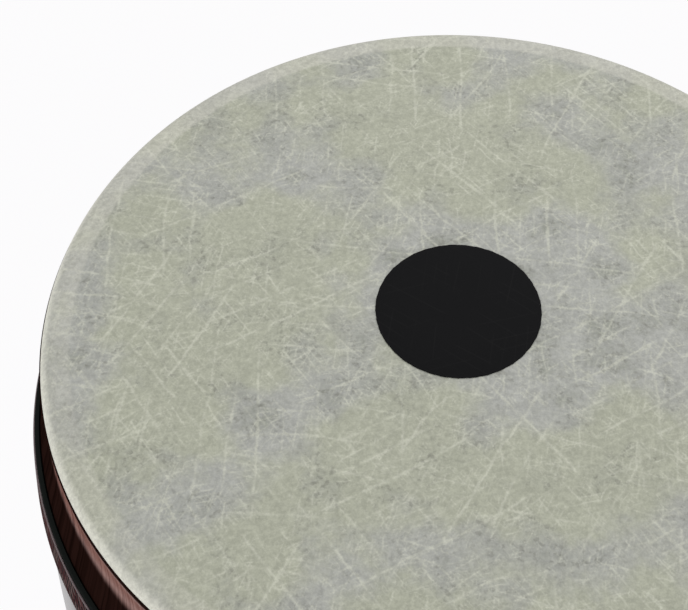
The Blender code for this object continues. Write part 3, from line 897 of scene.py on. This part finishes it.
shoulder = bolt_high.z - TIP_LENGTH
head_top = bolt_low.z + HEX_HEIGHT
core_profile = [
    (0.0, bolt_high.z),
    (TIP_RADIUS - TIP_BEVEL, bolt_high.z),
    (TIP_RADIUS, bolt_high.z - TIP_BEVEL),
    (TIP_RADIUS, shoulder),
    (ROOT_RADIUS, shoulder - THREAD_PITCH / 4),
    (ROOT_RADIUS, head_top + THREAD_PITCH),
    (THREAD_RADIUS, head_top + THREAD_PITCH / 2),
    (THREAD_RADIUS, head_top - HEX_HEIGHT / 2),
    (0.0, head_top - HEX_HEIGHT / 2),
]
core_mesh = turned_mesh("bolt_core", core_profile, 32, closed=False)

thread = Pattern(
    "screw_thread",
    {
        "Steps": THREAD_STEPS,
        "Turns": (shoulder - head_top) / THREAD_PITCH - 2.0,
        "Pitch": THREAD_PITCH,
        "Crest Radius": THREAD_RADIUS,
        "Rise": THREAD_RISE,
        "Foot Share": RIDGE_FOOT_SHARE,
        "Crest Share": RIDGE_CREST_SHARE,
        "Top Level": shoulder - THREAD_PITCH,
    },
)
size = thread.size
middle = size["Crest Radius"] - size["Rise"] * 0.5
# A spiral that rises is a left-hand one here, so this one runs down from its top.
spiral = thread.node(
    "GeometryNodeCurveSpiral",
    {},
    {
        "Resolution": size["Steps"],
        "Rotations": size["Turns"],
        "Start Radius": middle,
        "End Radius": middle,
        "Height": size["Turns"] * size["Pitch"] * -1.0,
    },
)
upright = thread.node("GeometryNodeSetCurveNormal", {"mode": "Z_UP"}, {"Curve": spiral})
ridge = thread.node(
    "GeometryNodeCurvePrimitiveQuadrilateral",
    {"mode": "TRAPEZOID"},
    {
        "Bottom Width": size["Pitch"] * size["Foot Share"],
        "Top Width": size["Pitch"] * size["Crest Share"],
        "Offset": 0.0,
        "Height": size["Rise"],
    },
)
swept = thread.node(
    "GeometryNodeCurveToMesh", {}, {"Curve": upright, "Profile Curve": ridge, "Fill Caps": True}
)
raised = thread.node(
    "GeometryNodeTransform",
    {},
    {"Geometry": swept, "Translation": thread.vector(0.0, 0.0, size["Top Level"])},
)
thread_mesh = thread.made(raised, steel_finish)

bm = bmesh.new()
bmesh.ops.create_cone(
    bm,
    cap_ends=True,
    segments=6,
    radius1=HEX_RADIUS,
    radius2=HEX_RADIUS,
    depth=HEX_HEIGHT,
    matrix=Matrix.Translation((0.0, 0.0, bolt_low.z + HEX_HEIGHT / 2)),
)
bmesh.ops.bevel(bm, geom=bm.edges, offset=HEX_BEVEL, segments=2, **rounded)
bm.from_mesh(core_mesh)
bm.from_mesh(thread_mesh)
bolt_mesh = bpy.data.meshes.new("lifting_bolt")
bm.to_mesh(bolt_mesh)
bm.free()
for i in range(TUNERS):
    placed = set_round(bolt_mesh, i, SCREW_AXIS_RADIUS)
    bolt = show(f"lifting_bolt_{i + 1}", placed, steel_finish, radians(35))
    settle(bolt, f"lifting_screw_{i + 1}", "plated_steel", f"lifting_screw_{i + 1}")

# Tuning ring and cups
# A turned aluminium ring just under the film, with a rounded upper edge that doesn't mark it. Six
# steel cups under the ring take the lifting screws' tips and push the ring up to tighten the film.
RING_ROUND = 0.003
RING_OUTER_RADIUS = 0.1335
RING_INNER_RADIUS = 0.1215
RING_CHAMFER = 0.0006
CUP_RADIUS = 0.0056
CUP_SOCKET_DEPTH = 0.002
CUP_ROUND = 0.0006
ring_low, ring_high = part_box("tuning_ring")
cup_low, cup_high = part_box("thrust_cup_1")

alloy_finish = Finish("ring_alloy", 0.36, 1.0)
tool_lines = alloy_finish.noise(alloy_finish.place, (9.0, 9.0, 4200.0), 2.0)
cloud = alloy_finish.noise(alloy_finish.place, 40.0, 3.0).ramp(0.4, 0.8)
alloy_tone = alloy_finish.blend(tool_lines, (0.50, 0.51, 0.52), (0.68, 0.69, 0.70))
alloy_tone = alloy_finish.blend(cloud * 0.4, alloy_tone, (0.44, 0.44, 0.44))
alloy_finish.set("Base Color", alloy_tone)
alloy_finish.set("Roughness", tool_lines.ramp(0.3, 0.7, 0.30, 0.44))
alloy_finish.bump(tool_lines, 0.00003)
ring_edge = (RING_OUTER_RADIUS - RING_ROUND, ring_high.z - RING_ROUND)
ring_profile = arc(ring_edge, RING_ROUND, pi / 2, 0, 8)
ring_profile += [
    (RING_OUTER_RADIUS, ring_low.z + RING_CHAMFER),
    (RING_OUTER_RADIUS - RING_CHAMFER, ring_low.z),
    (RING_INNER_RADIUS + RING_CHAMFER, ring_low.z),
    (RING_INNER_RADIUS, ring_low.z + RING_CHAMFER),
    (RING_INNER_RADIUS, ring_high.z - RING_CHAMFER),
    (RING_INNER_RADIUS + RING_CHAMFER, ring_high.z),
]
ring = show("tuning_ring_alloy", turned_mesh("tuning_ring_alloy", ring_profile), alloy_finish)
settle(ring, "tuning_ring", "ring_aluminium", "tuning_ring")

socket_radius = TIP_RADIUS + TOUCH_GAP
cup_profile = [(0.0, cup_high.z), (CUP_RADIUS - CUP_ROUND, cup_high.z)]
cup_profile += [(CUP_RADIUS, cup_high.z - CUP_ROUND)]
cup_profile += arc((CUP_RADIUS - CUP_ROUND, cup_low.z + CUP_ROUND), CUP_ROUND, 0, -pi / 2, 4)
cup_profile += [(socket_radius, cup_low.z), (socket_radius, cup_low.z + CUP_SOCKET_DEPTH)]
cup_profile += [(0.0, cup_low.z + CUP_SOCKET_DEPTH)]
cup_mesh = turned_mesh("cup", cup_profile, 40, closed=False)
for i in range(TUNERS):
    cup = show(f"cup_{i + 1}", set_round(cup_mesh, i, SCREW_AXIS_RADIUS), steel_finish)
    settle(cup, "tuning_ring", "plated_steel", f"thrust_cup_{i + 1}")

# Head film
# One sheet of synthetic film, pressed from long fibres, that lies flat to the rim, turns down
# over the bearing edge and is glued and cut off just below it. It is the part the hands play.
FILM_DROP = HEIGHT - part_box("head_film")[0].z
FILM_GREEN = srgb(172, 174, 156)
FILM_GREY = srgb(171, 172, 166)
FILM_FIBRE = srgb(205, 206, 189)
FILM_SHADOW = srgb(147, 149, 139)
FILM_SPECK = srgb(116, 115, 107)
FILM_RIM = srgb(200, 199, 187)
# Painted highlight colours for the film's turned-down edge: all round, and brightest at the near
# left.
FILM_EDGE_HIGHLIGHT = srgb(200, 198, 188)
FILM_NEAR_LEFT_HIGHLIGHT = srgb(250, 249, 234)
BACKED_FROM = 0.1372
BACKED_FADE = 0.0016
EDGE_HIGHLIGHT_FROM = 0.1448
# The rim's lighter colour grows towards the far side: that growth is painted light.
PAINTED_FAR_LIGHT_SPAN = (-0.10, 0.14)
PAINTED_FAR_LIGHT_SHARE = (0.24, 0.56)
NEAR_LEFT_HIGHLIGHT_SPAN = (-0.15, 0.0)
FILM_RINGS = (0.0, 0.04, 0.08, 0.12)
WAVERS = ((14.0, 0.010), (70.0, 0.0024), (260.0, 0.0007))
FIBRE_STRENGTHS = (1.05, 0.75, 0.55, 0.45)
FIBRE_KINDS = (
    {"families": 5, "length": 0.085, "spacing": 0.0095, "width": 0.00075, "seed": 1},
    {"families": 4, "length": 0.032, "spacing": 0.0048, "width": 0.00055, "seed": 21},
    {"families": 3, "length": 0.012, "spacing": 0.0022, "width": 0.00045, "seed": 41},
    {"families": 3, "length": 0.0042, "spacing": 0.0012, "width": 0.00034, "seed": 61},
)


def fibre_family(finish, place, turn, length, spacing, width, seed):
    """Thin fibres near one direction, one in each cell of a long grid at most."""
    inputs = {"Vector": place, "Rotation": (0.0, 0.0, turn), "Scale": (length, spacing, 1.0)}
    grid = finish.node("ShaderNodeMapping", {"vector_type": "TEXTURE"}, inputs)
    cell = finish.on_vector("FLOOR", {0: grid})
    along, across, _ = finish.split(finish.on_vector("FRACTION", {0: grid}))
    settings = {"noise_dimensions": "4D"}
    drawn = finish.node("ShaderNodeTexWhiteNoise", settings, {"Vector": cell, "W": seed})
    offset, slant, reach = finish.split(drawn.out("Color"))
    line = offset * 0.4 + 0.3 + (slant - 0.5) * (along - 0.5) * 1.1
    body = (1 - abs(across - line) * (spacing / width)).most(0.0)
    end = reach * 0.28 + 0.20
    inside = abs(along - 0.5).ramp(end - 0.12, end, 1.0, 0.0)
    return body * inside * drawn.ramp(0.25, 1.0)


def fibre_layer(finish, place, families, length, spacing, width, seed):
    """Several families of fibres of one size, whose directions fan out evenly."""
    layer = 0.0
    for k in range(families):
        turn = seed + pi * k / families + 0.1 * sin(5 * k)
        layer = layer + fibre_family(finish, place, turn, length, spacing, width, seed + k)
    return layer


def wavering(finish, place, scale, reach):
    """Places moved sideways by soft noise, so that straight things on them waver."""
    drift = finish.node("ShaderNodeTexNoise", {}, {"Vector": place, "Scale": scale}, "Color")
    return finish.on_vector("MULTIPLY_ADD", {0: drift, 1: (reach,) * 3, 2: place})


film_finish = Finish("film", 0.60, specular=0.30)
bent = film_finish.place
for scale, drift in WAVERS:
    bent = wavering(film_finish, bent, scale, drift)
fibres = 0.0
for strength, kind in zip(FIBRE_STRENGTHS, FIBRE_KINDS):
    fibres = fibres + fibre_layer(film_finish, bent, **kind) * strength
patches = film_finish.noise(film_finish.place, 150.0, 3.0, 0.65).ramp(0.36, 0.62, 0.25, 1.2)
fibres = fibres * patches
broad = film_finish.noise(film_finish.place, 12.0, 2.0)
hue = film_finish.noise(film_finish.place, 24.0, 5.0, 0.62) * 0.5 + broad * 0.5
cloud = film_finish.noise(film_finish.place, 48.0, 4.0, 0.6)
mottle = film_finish.noise(film_finish.place, 260.0, 3.0, 0.65)
grit = film_finish.noise(film_finish.place, 680.0, 3.0, 0.72)
flecks = film_finish.noise(film_finish.place, 480.0, 2.0, 0.6).ramp(0.53, 0.68)
x, y, _ = film_finish.split(film_finish.place)
flat = film_finish.on_vector("MULTIPLY", {0: film_finish.place, 1: (1.0, 1.0, 0.0)})
reach = film_finish.on_vector("LENGTH", {0: flat}, "Value")
backed = reach.ramp(BACKED_FROM, BACKED_FROM + BACKED_FADE)
edge_light_mask = reach.ramp(EDGE_HIGHLIGHT_FROM, HEAD_RADIUS)
tone = film_finish.blend(hue.ramp(0.44, 0.56), FILM_GREEN, FILM_GREY)
shadow = cloud.ramp(0.46, 0.72) * mottle.ramp(0.34, 0.60, 0.30, 1.0)
shadow = shadow * broad.ramp(0.40, 0.58, 0.45, 1.15)
tone = film_finish.blend(shadow * 0.9, tone, FILM_SHADOW)
tone = film_finish.blend(fibres.least(1.0) * 0.55, tone, FILM_FIBRE)
tone = film_finish.blend(flecks * cloud.ramp(0.44, 0.60) * 0.42, tone, FILM_SPECK)
# The rim over the bearing edge is lighter where wood backs the film; it grows lighter towards the
# far side (+Y), and that part is painted light.
tone = film_finish.blend(backed * y.ramp(*PAINTED_FAR_LIGHT_SPAN, *PAINTED_FAR_LIGHT_SHARE), tone, FILM_RIM)
# Painted highlight on the film's turned-down edge all round, brightest at the near left.
paler = (x + y).ramp(*NEAR_LEFT_HIGHLIGHT_SPAN, 1.0, 0.0)
edge_highlight = film_finish.blend(paler, FILM_EDGE_HIGHLIGHT, FILM_NEAR_LEFT_HIGHLIGHT)
tone = film_finish.blend(edge_light_mask * 0.9, tone, edge_highlight)
tone = film_finish.shaded(tone, mottle.ramp(0.32, 0.68, 0.955, 1.045))
tone = film_finish.shaded(tone, grit.ramp(0.30, 0.70, 0.885, 1.115))
film_finish.set("Base Color", tone)
film_finish.set("Roughness", fibres.ramp(0.0, 1.0, 0.64, 0.54))
film_finish.bump(fibres * 0.6 + grit * 0.5, 0.00005)

inner_round = EDGE_ROUND - FILM_THICKNESS
rim_level = EDGE_ROUND - FILM_DROP
film_profile = [(r, HEIGHT) for r in FILM_RINGS]
film_profile += arc(edge_centre, EDGE_ROUND, pi / 2, asin(rim_level / EDGE_ROUND), 14)
film_profile += arc(edge_centre, inner_round, asin(rim_level / inner_round), pi / 2, 14)
film_profile += [(r, HEIGHT - FILM_THICKNESS) for r in reversed(FILM_RINGS)]
film_mesh = turned_mesh("head_skin", film_profile, FINE_STEPS, closed=False)
head = show("head_skin", film_mesh, film_finish)
settle(head, "drum", "head_film", "head_film")

# Centre dot
# A thin black disc laminated to the middle of the film, cut by hand from the same kind of sheet,
# so its edge is a little uneven and the film's fibres show through it faintly.
dot_low, dot_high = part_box("centre_dot")
DOT_RADIUS = dot_high.x
DOT_UNEVEN = 0.00012
DOT_ROUND = 0.0001
DOT_WAVES = ((1.0, 37, 0.0), (0.7, 91, 1.3), (0.5, 13, 0.4))
DOT_EDGE_SHARE = 0.9
DOT_THREADS = {"families": 3, "length": 0.030, "spacing": 0.004, "width": 0.0003, "seed": 81}

dot_finish = Finish("dot", 0.62, specular=0.04)
threads = fibre_layer(dot_finish, dot_finish.place, **DOT_THREADS)
dust = dot_finish.noise(dot_finish.place, 1500.0, 3.0, 0.7)
dot_tone = dot_finish.blend(threads.least(1.0) * 0.35, srgb(21, 21, 22), srgb(35, 35, 35))
dot_tone = dot_finish.blend(dust.ramp(0.5, 0.8) * 0.4, dot_tone, srgb(34, 34, 35))
dot_finish.set("Base Color", dot_tone)
dot_finish.set("Roughness", dust.ramp(0.3, 0.7, 0.56, 0.68))
dot_finish.bump(threads * 0.6 + dust, 0.00002)
dot_profile = [(0.0, dot_high.z), (DOT_RADIUS * 0.5, dot_high.z)]
dot_profile += arc((DOT_RADIUS - DOT_ROUND, dot_high.z - DOT_ROUND), DOT_ROUND, pi / 2, 0, 3)
dot_profile += [(DOT_RADIUS, dot_low.z), (0.0, dot_low.z)]
dot_mesh = turned_mesh("centre_disc", dot_profile, 240, closed=False)
most_ragged = sum(height for height, _, _ in DOT_WAVES)
for vert in dot_mesh.vertices:
    angle = atan2(vert.co.y, vert.co.x)
    if hypot(vert.co.x, vert.co.y) > DOT_RADIUS * DOT_EDGE_SHARE:
        ragged = sum(height * sin(count * angle + start) for height, count, start in DOT_WAVES)
        vert.co.xy *= 1 + DOT_UNEVEN * (ragged / most_ragged - 1) / DOT_RADIUS
dot = show("centre_disc", dot_mesh, dot_finish)
settle(dot, "drum", "dot_black", "centre_dot")

low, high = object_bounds()
